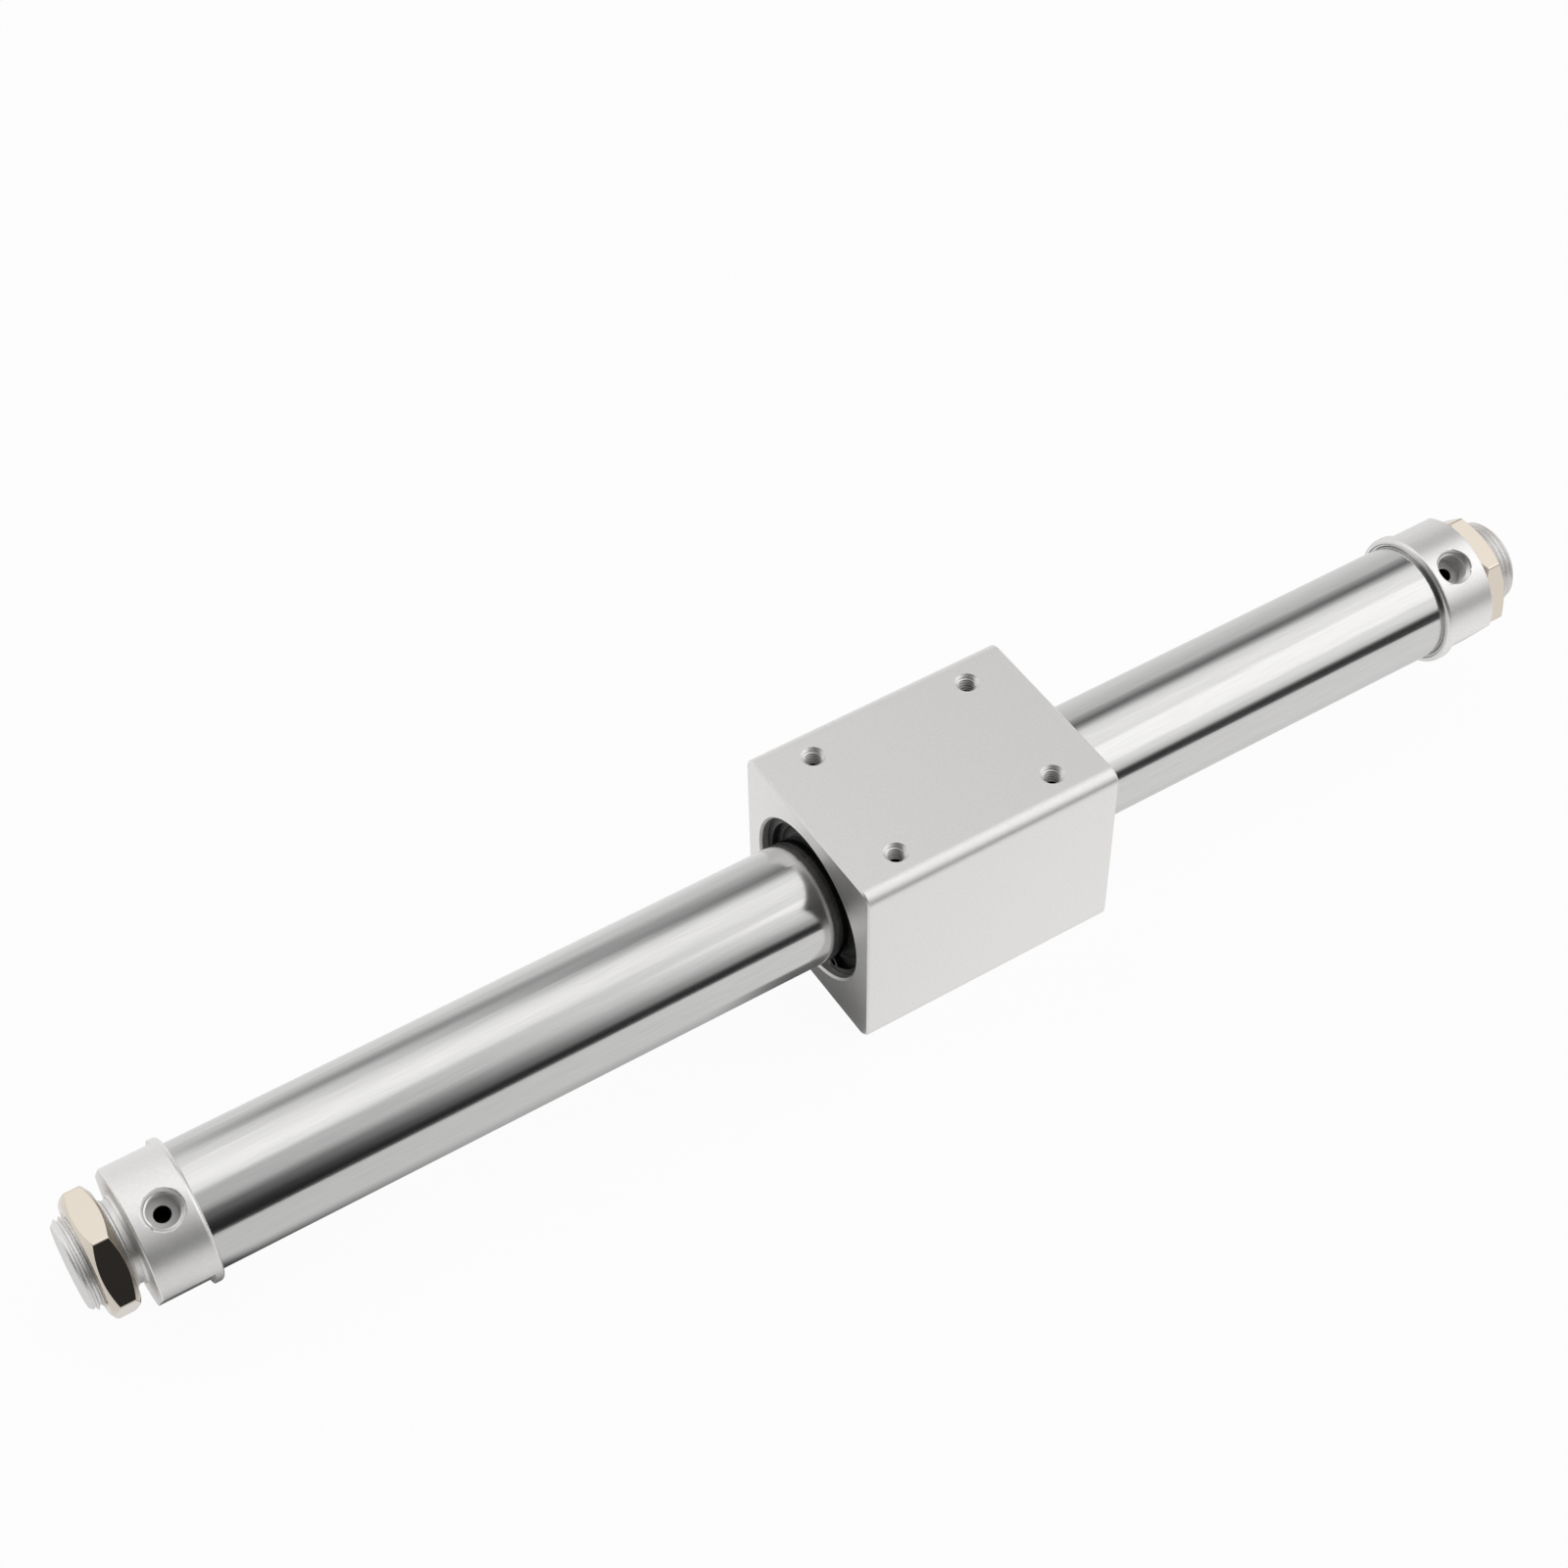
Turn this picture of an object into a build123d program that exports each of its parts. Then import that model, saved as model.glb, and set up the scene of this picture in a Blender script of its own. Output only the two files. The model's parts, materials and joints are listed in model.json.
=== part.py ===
from build123d import *
import math
import os

# Magnetically coupled rodless pneumatic cylinder, 32 mm bore and 300 mm stroke.
# X runs along the tube, Z points up through the carriage's top face, and the origin is on the tube's axis,
# midway between the two covers. All sizes are in millimetres and angles in degrees.

# Overall layout
stroke = 300.0
overrun = 5.0  # room left between carriage and cover at each end of the stroke
carriage_shift = 26.6  # where the carriage stands, measured from the tube's middle
port_tilt = 27.5  # both ports lean this far from straight up, towards -Y

# Clearances
sliding_gap = 0.04  # wear rings, seals and scrapers on their running surfaces
seat_gap = 0.05  # pieces that sit in a bore, on a shaft or on a thread
groove_gap = 0.1  # rings in their grooves, along the axis
running_gap = 0.5  # bushes and yokes that must never touch the tube
bumper_gap = 0.2  # bumper to cover at the end of the stroke

# Tube
tube_bore_radius = 16.0
tube_wall = 1.3
tube_end_break = 0.3
tube_groove_depth = 0.4
tube_land = 0.7  # between the snap ring's groove and the tube's end

# Carriage block
carriage_length = 80.0
carriage_width = 60.0
carriage_height = 60.0
carriage_edge_radius = 3.8
carriage_end_chamfer = 0.5
carriage_bore_room = 6.5  # from the tube to the block's bore
carriage_bore_chamfer = 0.6
bolt_spacing_long = 50.0
bolt_spacing_wide = 40.0
bolt_hole_radius = 3.0  # M6
bolt_hole_depth = 8.0
bolt_mouth_chamfer = 0.4
drill_tip_angle = 118.0

# End covers
cover_length = 16.8
cover_wall = 1.5  # around the snap ring's room
cover_face_fillet = 0.5
cover_end_chamfer = 0.4
cover_across_flats = 36.0
cover_flats_tilt = 31.0  # the way the two flats run, measured like the ports' lean
cover_collar_width = 2.7  # left round beside the flats
spigot_chamfer = 0.5
spigot_groove_width = 2.2
spigot_groove_depth = 1.5
spigot_groove_setback = 2.0  # from the spigot's free end
air_way_radius = 4.0
air_way_overrun = 1.5  # past the port's drilled way
port_setback = 8.7  # port axis to the cover's outer end
port_spot_radius = 5.35
port_spot_depth = 0.9
port_radius = 4.864  # G 1/8
port_depth = 7.4
port_mouth_chamfer = 0.3
port_drill_radius = 2.05
port_drill_chamfer = 0.3

# Tube retention in the cover's mouth
ring_room = 0.9  # from the tube to the mouth's bore
attachment_ring_setback = 0.15
attachment_ring_thickness = 0.7
snap_ring_thickness = 0.7
snap_ring_height = 0.7  # how far it stands out of the tube
snap_ring_gap_angle = 24.0

# Threaded nose and its nut
nose_length = 15.5
nose_radius = 12.0  # M25x1.5, at its pitch radius
nose_chamfer = 1.3
nose_collar_drop = 0.1
nose_collar_length = 0.8
nose_relief_depth = 0.6
nose_relief_width = 1.4
nut_across_flats = 31.6  # 32 mm nominal
nut_thickness = 8.0
nut_face_step = 1.0  # from the flats in to the face's edge
nut_face_angle = 30.0
nut_corner_radius = 0.7
nut_mouth_chamfer = 1.0
nut_gap = {"left": 3.6, "right": 0.2}  # nut to cover
nut_turn = {"left": 57.0, "right": 13.0}  # a corner's angle from +Y

# Magnet stacks, alike inside the tube and in the carriage
magnet_count = 4
magnet_chamfer = 0.4
yoke_thickness = 3.6
yoke_chamfer = 0.2
magnet_drop = 0.6  # magnets stand this far back from their yokes' running faces
outer_yoke_gap = 0.7  # yoke to tube

# Piston
shaft_radius = 4.0
shaft_chamfer = 0.6
shaft_stand = 0.4  # past the nut
piston_length = 12.2
piston_gap = 0.4  # piston to the tube's bore
piston_edge_chamfer = 0.5
piston_nut_across_flats = 13.0
piston_nut_thickness = 5.0
nut_pocket_gap = 0.5
piston_ring_width = 3.4
piston_ring_depth = 1.6
piston_seal_width = 2.6
piston_seal_depth = 2.4
piston_seal_notch = 1.2
piston_land = 1.4  # wall left between a groove and its neighbour
bumper_thickness = 2.4
bumper_step = 1.0  # from the piston's edge in to the bumper's
bumper_chamfer = 0.8

# Carriage end rings with wear ring, lube retainer and scraper
ring_break = 0.2
end_ring_break = 0.3
retainer_land = 0.8
wear_ring_width = 3.6
wear_ring_height = 1.6
felt_width = 2.2
felt_height = 2.6
scraper_width = 3.25
scraper_height = 3.3
scraper_heel = 0.9  # from the tube up to the scraper's body
scraper_lip_width = 0.6
scraper_lip_slope = 0.8
scraper_lip_height = 0.5
circlip_thickness = 1.75
circlip_setback = 2.6  # circlip face to the carriage's end face
circlip_groove_depth = 1.0
circlip_back = 3.4  # radial width opposite its gap
circlip_tip = 2.4  # radial width beside its gap
circlip_gap_angle = 38.0
circlip_lug_radius = 2.3
circlip_lug_hole = 1.1
circlip_lug_inset = 0.8

# Derived places along X, for the +X end
cover_face = (stroke + carriage_length) / 2 + overrun  # the side of a cover that faces the carriage
cover_end = cover_face + cover_length
nose_end = cover_end + nose_length
port_x = cover_end - port_setback
attachment_ring_start = cover_face + attachment_ring_setback
snap_ring_start = attachment_ring_start + attachment_ring_thickness + groove_gap
ring_seat = snap_ring_start + snap_ring_thickness + groove_gap / 2
tube_end = ring_seat + tube_land
socket_floor = tube_end + groove_gap
circlip_face = carriage_length / 2 - circlip_setback
end_ring_end = circlip_face - circlip_thickness
end_ring_length = wear_ring_width + felt_width + scraper_width + 3 * retainer_land + 2 * groove_gap
stack_half = end_ring_end - end_ring_length
magnet_thickness = (2 * stack_half - (magnet_count + 1) * yoke_thickness) / magnet_count
piston_end = stack_half + piston_length
nut_pocket_depth = piston_nut_thickness + shaft_stand + bumper_gap
spigot_end = stroke / 2 + piston_end + bumper_thickness + bumper_gap
spigot_groove_start = spigot_end + spigot_groove_setback

# Derived radii
tube_radius = tube_bore_radius + tube_wall
running_bore = tube_radius + running_gap
mouth_radius = tube_radius + ring_room
cover_radius = mouth_radius + cover_wall
carriage_bore_radius = tube_radius + carriage_bore_room
piston_radius = tube_bore_radius - piston_gap
nut_pocket_radius = piston_nut_across_flats / math.sqrt(3) + nut_pocket_gap
spigot_radius = tube_bore_radius - seat_gap
nut_face_radius = nut_across_flats / 2 - nut_face_step

SIDES = {"left": -1, "right": 1}
CUT = 1.0  # how far a cutter reaches past the face it opens

os.makedirs("parts", exist_ok=True)


def section(*points):
    """A flat face in the XZ plane from (x, radius) points."""
    return make_face(Plane.XZ * Polyline(*points, close=True))


def turned(*points):
    """A solid of revolution about X from (x, radius) points."""
    return revolve(section(*points), axis=Axis.X)


def ring(x0, x1, r_in, r_out, edge=0.0):
    """A ring along X between two radii, with its four edges broken."""
    if not edge:
        return turned((x0, r_in), (x1, r_in), (x1, r_out), (x0, r_out))
    return turned(
        (x0, r_in + edge), (x0 + edge, r_in), (x1 - edge, r_in), (x1, r_in + edge),
        (x1, r_out - edge), (x1 - edge, r_out), (x0 + edge, r_out), (x0, r_out - edge),
    )


def rod(x0, x1, radius, edge=0.0):
    """A round bar along X with broken ends."""
    if not edge:
        return turned((x0, 0), (x1, 0), (x1, radius), (x0, radius))
    rim = radius - edge
    return turned((x0, 0), (x1, 0), (x1, rim), (x1 - edge, radius), (x0 + edge, radius), (x0, rim))


def groove_cut(x0, x1, floor_radius, surface_radius):
    """The cutter of a groove in an outside surface."""
    return ring(x0, x1, floor_radius, surface_radius + CUT)


def handed(shape, side):
    """The shape as built for the +X end, or its mirror image for the -X end."""
    return shape if side > 0 else mirror(shape, about=Plane.YZ)


def on_carriage(shape):
    """Moves a piece from the tube's middle to where the carriage stands."""
    return Pos(carriage_shift, 0, 0) * shape


def gap_wedge(gap_angle, reach):
    """A flat wedge below the axis, the opening of a split ring."""
    half = math.radians(gap_angle / 2)
    across = reach * math.sin(half)
    down = -reach * math.cos(half)
    return make_face(Polyline((0, 0), (-across, down), (across, down), close=True))


def cylinder_tube():
    """The drawn tube, with a groove for its snap ring near each end."""
    tube = ring(-tube_end, tube_end, tube_bore_radius, tube_radius, tube_end_break)
    groove_start = snap_ring_start - groove_gap / 2
    groove = groove_cut(groove_start, ring_seat, tube_radius - tube_groove_depth, tube_radius)
    for side in SIDES.values():
        tube -= handed(groove, side)
    return tube


def tube_snap_ring():
    """The split ring in the tube's groove, open downwards."""
    r_in = tube_radius - tube_groove_depth + seat_gap
    r_out = tube_radius + snap_ring_height
    blank = Circle(r_out) - Circle(r_in) - gap_wedge(snap_ring_gap_angle, 2 * r_out)
    return extrude(Plane.YZ.offset(snap_ring_start) * blank, snap_ring_thickness)


def attachment_ring():
    """The ring that locks the snap ring into the cover's mouth."""
    x1 = attachment_ring_start + attachment_ring_thickness
    return ring(attachment_ring_start, x1, tube_radius + seat_gap, mouth_radius - seat_gap, ring_break)


def tube_gasket():
    """The ring seal on the cover's spigot."""
    x0 = spigot_groove_start + groove_gap
    x1 = spigot_groove_start + spigot_groove_width - groove_gap
    r_in = tube_bore_radius - spigot_groove_depth
    return ring(x0, x1, r_in, tube_bore_radius - sliding_gap, spigot_chamfer)


def corners(face, *points):
    """The face's corners at (x, radius) points."""
    tiny = 1e-6
    return [v for v in face.vertices() for x, r in points if abs(v.X - x) < tiny and abs(v.Z - r) < tiny]


def cover_blank():
    """The turned body: spigot, mouth, barrel and threaded nose."""
    groove_floor = tube_bore_radius - spigot_groove_depth - seat_gap
    groove_end = spigot_groove_start + spigot_groove_width
    collar_end = cover_end + nose_collar_length
    relief_end = collar_end + nose_relief_width
    relief_radius = nose_radius - nose_relief_depth
    collar_radius = nose_radius - nose_collar_drop
    face_edge = (cover_face, cover_radius)
    face = section(
        (spigot_end, 0), (spigot_end, spigot_radius - spigot_chamfer),
        (spigot_end + spigot_chamfer, spigot_radius), (spigot_groove_start, spigot_radius),
        (spigot_groove_start, groove_floor), (groove_end, groove_floor),
        (groove_end, spigot_radius), (socket_floor, spigot_radius), (socket_floor, tube_radius + seat_gap),
        (ring_seat, tube_radius + seat_gap), (ring_seat, mouth_radius), (cover_face, mouth_radius),
        face_edge,
        (cover_end - cover_end_chamfer, cover_radius), (cover_end, cover_radius - cover_end_chamfer),
        (cover_end, collar_radius), (collar_end, collar_radius), (collar_end, relief_radius),
        (relief_end, relief_radius), (relief_end + nose_relief_depth, nose_radius),
        (nose_end - nose_chamfer, nose_radius), (nose_end, nose_radius - nose_chamfer), (nose_end, 0),
    )
    face = fillet(corners(face, face_edge), cover_face_fillet)
    return revolve(face, axis=Axis.X)


def cover_flats_cut():
    """What is milled away beside the two spanner flats, from the collar to the barrel's outer end."""
    start = cover_face + cover_collar_width
    length = cover_end + CUT - start
    depth = cover_radius + CUT - cover_across_flats / 2
    height = 2 * (cover_radius + CUT)
    slab = Box(length, depth, height, align=(Align.MIN, Align.MIN, Align.CENTER))
    turn = Rot(cover_flats_tilt, 0, 0)
    return [turn * Pos(start, hand * cover_across_flats / 2, 0) * shape
            for hand, shape in ((1, slab), (-1, mirror(slab, about=Plane.XZ)))]


def port_cut():
    """The threaded port, its spot face and the drilled way to the cover's air passage, leaning to -Y."""
    floor = cover_radius - port_depth
    spot = cover_radius - port_spot_depth
    outside = cover_radius + CUT
    profile = Polyline(
        (0, 0), (port_drill_radius, 0), (port_drill_radius, floor - port_drill_chamfer),
        (port_drill_radius + port_drill_chamfer, floor), (port_radius, floor),
        (port_radius, spot - port_mouth_chamfer), (port_radius + port_mouth_chamfer, spot),
        (port_spot_radius, spot), (port_spot_radius, outside), (0, outside), close=True,
    )
    return Pos(port_x, 0, 0) * Rot(port_tilt, 0, 0) * revolve(make_face(Plane.XZ * profile), axis=Axis.Z)


def end_cover():
    air_way_end = port_x + port_drill_radius + air_way_overrun
    air_way = rod(spigot_end - CUT, air_way_end, air_way_radius)
    return cover_blank() - cover_flats_cut() - air_way - port_cut()


def mounting_nut(side_name):
    """The hexagon nut on a nose, chamfered on both faces."""
    x0 = cover_end + nut_gap[side_name]
    x1 = x0 + nut_thickness
    hexagon = RegularPolygon(nut_across_flats / 2, 6, major_radius=False, rotation=nut_turn[side_name])
    hexagon = fillet(hexagon.vertices(), nut_corner_radius)
    bar = extrude(Plane.YZ.offset(x0) * hexagon, nut_thickness)
    corner = nut_across_flats / math.sqrt(3)
    drop = (corner - nut_face_radius) * math.tan(math.radians(nut_face_angle))
    envelope = turned(
        (x0, 0), (x1, 0), (x1, nut_face_radius), (x1 - drop, corner), (x0 + drop, corner),
        (x0, nut_face_radius),
    )
    bore = nose_radius + seat_gap
    mouth = bore + nut_mouth_chamfer
    hole = turned(
        (x0 - CUT, 0), (x0 - CUT, mouth + CUT), (x0 + nut_mouth_chamfer, bore),
        (x1 - nut_mouth_chamfer, bore), (x1 + CUT, mouth + CUT), (x1 + CUT, 0),
    )
    return (bar & envelope) - hole


def tapped_hole():
    """One blind tapped hole that opens on the carriage's top face, standing on the Z axis."""
    top = carriage_height / 2
    floor = top - bolt_hole_depth
    tip = bolt_hole_radius / math.tan(math.radians(drill_tip_angle / 2))
    profile = Polyline(
        (0, floor - tip), (bolt_hole_radius, floor), (bolt_hole_radius, top - bolt_mouth_chamfer),
        (bolt_hole_radius + bolt_mouth_chamfer + CUT, top + CUT), (0, top + CUT), close=True,
    )
    return revolve(make_face(Plane.XZ * profile), axis=Axis.Z)


def carriage_body():
    """The block, with its bore, circlip grooves and the two faces of tapped holes."""
    block = Box(carriage_length, carriage_width, carriage_height)
    block = fillet(block.edges().filter_by(Axis.X), carriage_edge_radius)
    ends = block.faces().filter_by(Axis.X)
    block = chamfer([edge for face in ends for edge in face.edges()], carriage_end_chamfer)
    half = carriage_length / 2
    c = carriage_bore_chamfer
    r = carriage_bore_radius
    block -= turned(
        (-half - CUT, 0), (half + CUT, 0), (half + CUT, r + c + CUT), (half - c, r),
        (c - half, r), (-half - CUT, r + c + CUT),
    )
    groove = ring(end_ring_end - groove_gap, circlip_face + groove_gap, r - CUT, r + circlip_groove_depth)
    for side in SIDES.values():
        block -= handed(groove, side)
    holes = [
        Rot(turn, 0, 0) * Pos(x, y, 0) * tapped_hole()
        for turn in (0, 180)
        for x in (-bolt_spacing_long / 2, bolt_spacing_long / 2)
        for y in (-bolt_spacing_wide / 2, bolt_spacing_wide / 2)
    ]
    return block - holes


def end_ring_pockets():
    """(start, end, radius) of the wear ring's, felt's and scraper's seats, outwards from the magnet stack."""
    wear = stack_half + retainer_land
    wear_end = wear + wear_ring_width + groove_gap
    felt = wear_end + retainer_land
    scraper_start = end_ring_end - scraper_width
    return {
        "wear_ring": (wear, wear_end, tube_radius + wear_ring_height + seat_gap),
        "felt": (felt, felt + felt_width + groove_gap, tube_radius + felt_height + seat_gap),
        "scraper": (scraper_start, end_ring_end + CUT, tube_radius + scraper_height + seat_gap),
    }


def slider_end_ring():
    """The bush that closes the magnet stack and carries the three rings on the tube."""
    body = ring(stack_half, end_ring_end, running_bore, carriage_bore_radius - seat_gap, end_ring_break)
    for start, end, radius in end_ring_pockets().values():
        body -= ring(start, end, running_bore - CUT, radius)
    return body


def slider_wear_ring():
    x0 = end_ring_pockets()["wear_ring"][0] + groove_gap / 2
    x1 = x0 + wear_ring_width
    return ring(x0, x1, tube_radius + sliding_gap, tube_radius + wear_ring_height, ring_break)


def lube_retainer():
    x0 = end_ring_pockets()["felt"][0] + groove_gap / 2
    return ring(x0, x0 + felt_width, tube_radius + sliding_gap, tube_radius + felt_height)


def scraper():
    """The wiper, whose lip leans out towards the tube."""
    x0 = end_ring_end - scraper_width
    x1 = end_ring_end
    heel = tube_radius + scraper_heel
    lip = tube_radius + sliding_gap
    top = tube_radius + scraper_height
    lip_start = x1 - scraper_lip_width
    waist = heel + (top - heel) / 2
    return turned(
        (x0, heel), (lip_start - scraper_lip_slope, heel), (lip_start, lip), (x1, lip),
        (x1, lip + scraper_lip_height), (lip_start, waist), (x1, waist + scraper_lip_height),
        (x1, top), (x0, top),
    )


def circlip():
    """The internal retaining ring: widest at its back, with two drilled lugs beside its gap."""
    outer = carriage_bore_radius + circlip_groove_depth - seat_gap
    inner = outer - (circlip_back + circlip_tip) / 2
    shift = (circlip_back - circlip_tip) / 2
    blank = Circle(outer) - Pos(0, -shift) * Circle(inner) - gap_wedge(circlip_gap_angle, 2 * outer)
    lug_angle = math.radians(circlip_gap_angle / 2) + circlip_lug_radius / outer
    lug_orbit = outer - circlip_lug_radius - circlip_lug_inset
    for hand in (-1, 1):
        place = Pos(hand * lug_orbit * math.sin(lug_angle), -lug_orbit * math.cos(lug_angle))
        blank = blank + place * Circle(circlip_lug_radius) - place * Circle(circlip_lug_hole)
    return extrude(Plane.YZ.offset(end_ring_end) * blank, circlip_thickness)


def magnet_stack(prefix, magnet_radii, yoke_radii):
    """Yokes and magnets in turn along X, as {node: solid}."""
    pieces = {}
    x = -stack_half
    for number in range(1, magnet_count + 2):
        pieces[f"{prefix}_yoke_{number}"] = ring(x, x + yoke_thickness, *yoke_radii, yoke_chamfer)
        x += yoke_thickness
        if number <= magnet_count:
            pieces[f"{prefix}_magnet_{number}"] = ring(x, x + magnet_thickness, *magnet_radii, magnet_chamfer)
            x += magnet_thickness
    return pieces


def inner_stack():
    bore = shaft_radius + seat_gap
    yoke_outside = tube_bore_radius - running_gap
    return magnet_stack("inner", (bore, yoke_outside - magnet_drop), (bore, yoke_outside))


def outer_stack():
    outside = carriage_bore_radius - seat_gap
    yoke_bore = tube_radius + outer_yoke_gap
    return magnet_stack("outer", (yoke_bore + magnet_drop, outside), (yoke_bore, outside))


def piston_grooves():
    """(start, end, floor radius) of the wear ring's and the seal's groove, outwards from the magnet stack."""
    wear = stack_half + piston_land
    wear_end = wear + piston_ring_width + groove_gap
    seal = wear_end + piston_land
    return {
        "ring": (wear, wear_end, piston_radius - piston_ring_depth),
        "seal": (seal, seal + piston_seal_width + groove_gap, piston_radius - piston_seal_depth),
    }


def piston():
    body = ring(stack_half, piston_end, shaft_radius + seat_gap, piston_radius, piston_edge_chamfer)
    for start, end, floor_radius in piston_grooves().values():
        body -= groove_cut(start, end, floor_radius, piston_radius)
    return body - rod(piston_end - nut_pocket_depth, piston_end + CUT, nut_pocket_radius)


def piston_wear_ring():
    start, _, floor_radius = piston_grooves()["ring"]
    x0 = start + groove_gap / 2
    x1 = x0 + piston_ring_width
    return ring(x0, x1, floor_radius + seat_gap, tube_bore_radius - sliding_gap, ring_break)


def piston_seal():
    """The U-section seal, open towards the pressure side."""
    start, _, floor_radius = piston_grooves()["seal"]
    x0 = start + groove_gap / 2
    x1 = x0 + piston_seal_width
    r_in = floor_radius + seat_gap
    r_out = tube_bore_radius - sliding_gap
    middle = (r_in + r_out) / 2
    half_notch = piston_seal_notch / 2
    return turned(
        (x0, r_in), (x1, r_in), (x1, middle - half_notch), (x1 - piston_seal_notch, middle),
        (x1, middle + half_notch), (x1, r_out), (x0, r_out),
    )


def piston_bumper():
    x1 = piston_end + bumper_thickness
    return ring(piston_end, x1, nut_pocket_radius, piston_radius - bumper_step, bumper_chamfer)


def piston_nut():
    x0 = piston_end - nut_pocket_depth
    hexagon = RegularPolygon(piston_nut_across_flats / 2, 6, major_radius=False)
    bar = extrude(Plane.YZ.offset(x0) * hexagon, piston_nut_thickness)
    return bar - rod(x0 - CUT, x0 + piston_nut_thickness + CUT, shaft_radius + seat_gap)


def piston_shaft():
    reach = piston_end - bumper_gap
    return rod(-reach, reach, shaft_radius, shaft_chamfer)


nodes = {"cylinder_tube": cylinder_tube()}
cover_pieces = {
    "end_cover": end_cover(),
    "attachment_ring": attachment_ring(),
    "tube_snap_ring": tube_snap_ring(),
    "tube_gasket": tube_gasket(),
}
carriage_end_pieces = {
    "slider_end_ring": slider_end_ring(),
    "slider_wear_ring": slider_wear_ring(),
    "lube_retainer": lube_retainer(),
    "scraper": scraper(),
    "circlip": circlip(),
    "piston": piston(),
    "piston_wear_ring": piston_wear_ring(),
    "piston_seal": piston_seal(),
    "piston_bumper": piston_bumper(),
    "piston_nut": piston_nut(),
}
middle_pieces = {"carriage_body": carriage_body(), "piston_shaft": piston_shaft()}
middle_pieces |= inner_stack() | outer_stack()

for side_name, side in SIDES.items():
    for name, shape in cover_pieces.items():
        nodes[f"{name}_{side_name}"] = handed(shape, side)
    for name, shape in carriage_end_pieces.items():
        nodes[f"{name}_{side_name}"] = on_carriage(handed(shape, side))
    nodes[f"mounting_nut_{side_name}"] = handed(mounting_nut(side_name), side)
for name, shape in middle_pieces.items():
    nodes[name] = on_carriage(shape)

for name, shape in nodes.items():
    export_step(shape, f"parts/{name}.step")
print(len(nodes), "nodes")
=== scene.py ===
import json
import math

import bmesh
import bpy
from mathutils import Matrix, Vector


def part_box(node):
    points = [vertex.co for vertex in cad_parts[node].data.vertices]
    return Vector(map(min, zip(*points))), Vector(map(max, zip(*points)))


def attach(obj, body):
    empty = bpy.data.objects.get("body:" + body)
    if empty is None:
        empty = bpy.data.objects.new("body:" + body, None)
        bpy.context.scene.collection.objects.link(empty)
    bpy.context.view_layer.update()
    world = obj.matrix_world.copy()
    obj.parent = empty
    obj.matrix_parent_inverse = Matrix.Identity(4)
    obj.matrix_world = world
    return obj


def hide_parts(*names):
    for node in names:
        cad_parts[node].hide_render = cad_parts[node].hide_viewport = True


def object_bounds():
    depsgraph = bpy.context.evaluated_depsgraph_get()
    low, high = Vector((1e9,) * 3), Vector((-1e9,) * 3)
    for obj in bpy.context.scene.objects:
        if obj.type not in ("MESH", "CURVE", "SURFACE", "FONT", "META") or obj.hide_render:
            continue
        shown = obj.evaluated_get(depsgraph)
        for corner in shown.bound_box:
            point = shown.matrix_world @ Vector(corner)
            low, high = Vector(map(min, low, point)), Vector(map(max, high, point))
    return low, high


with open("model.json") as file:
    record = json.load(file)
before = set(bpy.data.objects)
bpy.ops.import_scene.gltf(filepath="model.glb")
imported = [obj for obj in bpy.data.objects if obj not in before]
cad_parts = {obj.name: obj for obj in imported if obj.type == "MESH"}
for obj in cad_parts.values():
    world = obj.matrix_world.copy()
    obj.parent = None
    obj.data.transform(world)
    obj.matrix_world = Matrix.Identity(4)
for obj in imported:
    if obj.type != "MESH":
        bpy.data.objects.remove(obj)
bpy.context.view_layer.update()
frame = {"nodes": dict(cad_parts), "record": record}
nodes = frame["nodes"]

# Sizes are in millimetres and are multiplied by MM where a mesh is made. X runs along the tube.
MM = 0.001
SIDES = {"left": -1, "right": 1}

# Camera
CAMERA_PLACE = (-274.67, -419.9, 608.8)
CAMERA_AZIMUTH = -31.25
CAMERA_ELEVATION = 48.63
CAMERA_ROLL = -1.24
CAMERA_LENS = 66.65  # for a sensor 36 mm wide

# End covers
COVER_LENGTH = 16.8
COVER_RADIUS = 19.7
COVER_FACE_ROUND = 1.2
COVER_END_CHAMFER = 0.4
COVER_FLATS = 36.0
FLATS_TILT = 31.0
FLATS_COLLAR = 2.7  # left round beside the flats
MOUTH_RADIUS = 18.2
RING_SEAT = 1.7
SOCKET_RADIUS = 17.35
SOCKET_DEPTH = 2.5
SPIGOT_RADIUS = 15.95
SPIGOT_CHAMFER = 0.5
GROOVE_SETBACK = 2.0
GROOVE_WIDTH = 2.2
GROOVE_FLOOR = 14.45
AIR_WAY_RADIUS = 4.0
AIR_WAY_OVERRUN = 3.55
PORT_TILT = 27.5
PORT_SETBACK = 8.7
PORT_SPOT_RADIUS = 5.35
PORT_SPOT_DEPTH = 0.9
PORT_SPOT_ROUND = 0.22
PORT_RADIUS = 4.864
PORT_DEPTH = 7.4
PORT_CHAMFER = 0.3
PORT_DRILL = 2.05
PORT_DRILL_CHAMFER = 0.3
PORT_DRILL_START = 0.1  # from the tube's axis

# Threaded nose, M25x1.5
NOSE_LENGTH = 15.5
NOSE_CREST = 12.5
NOSE_CORE = 11.58
NOSE_CHAMFER = 1.5
COLLAR_RADIUS = 11.9
COLLAR_LENGTH = 0.8
RELIEF_RADIUS = 11.3
RELIEF_WIDTH = 1.4
NOSE_PITCH = 1.5

# Hexagon nuts
NUT_FLATS = 31.6
NUT_THICKNESS = 8.0
NUT_FACE_RADIUS = 14.8
NUT_FACE_ANGLE = 30.0
NUT_CORNER = 0.45
NUT_EDGE = 0.09
NUT_MOUTH = 13.2
NUT_TURN = {"left": 57.0, "right": 13.0}

# Threads: the widths are shares of the pitch
THREAD_ROOT_WIDTH = 0.76
THREAD_CREST_WIDTH = 0.13
NOSE_THREAD_START = 0.3  # past the undercut
PORT_THREAD_START = 1.0  # above the port's floor

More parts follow.
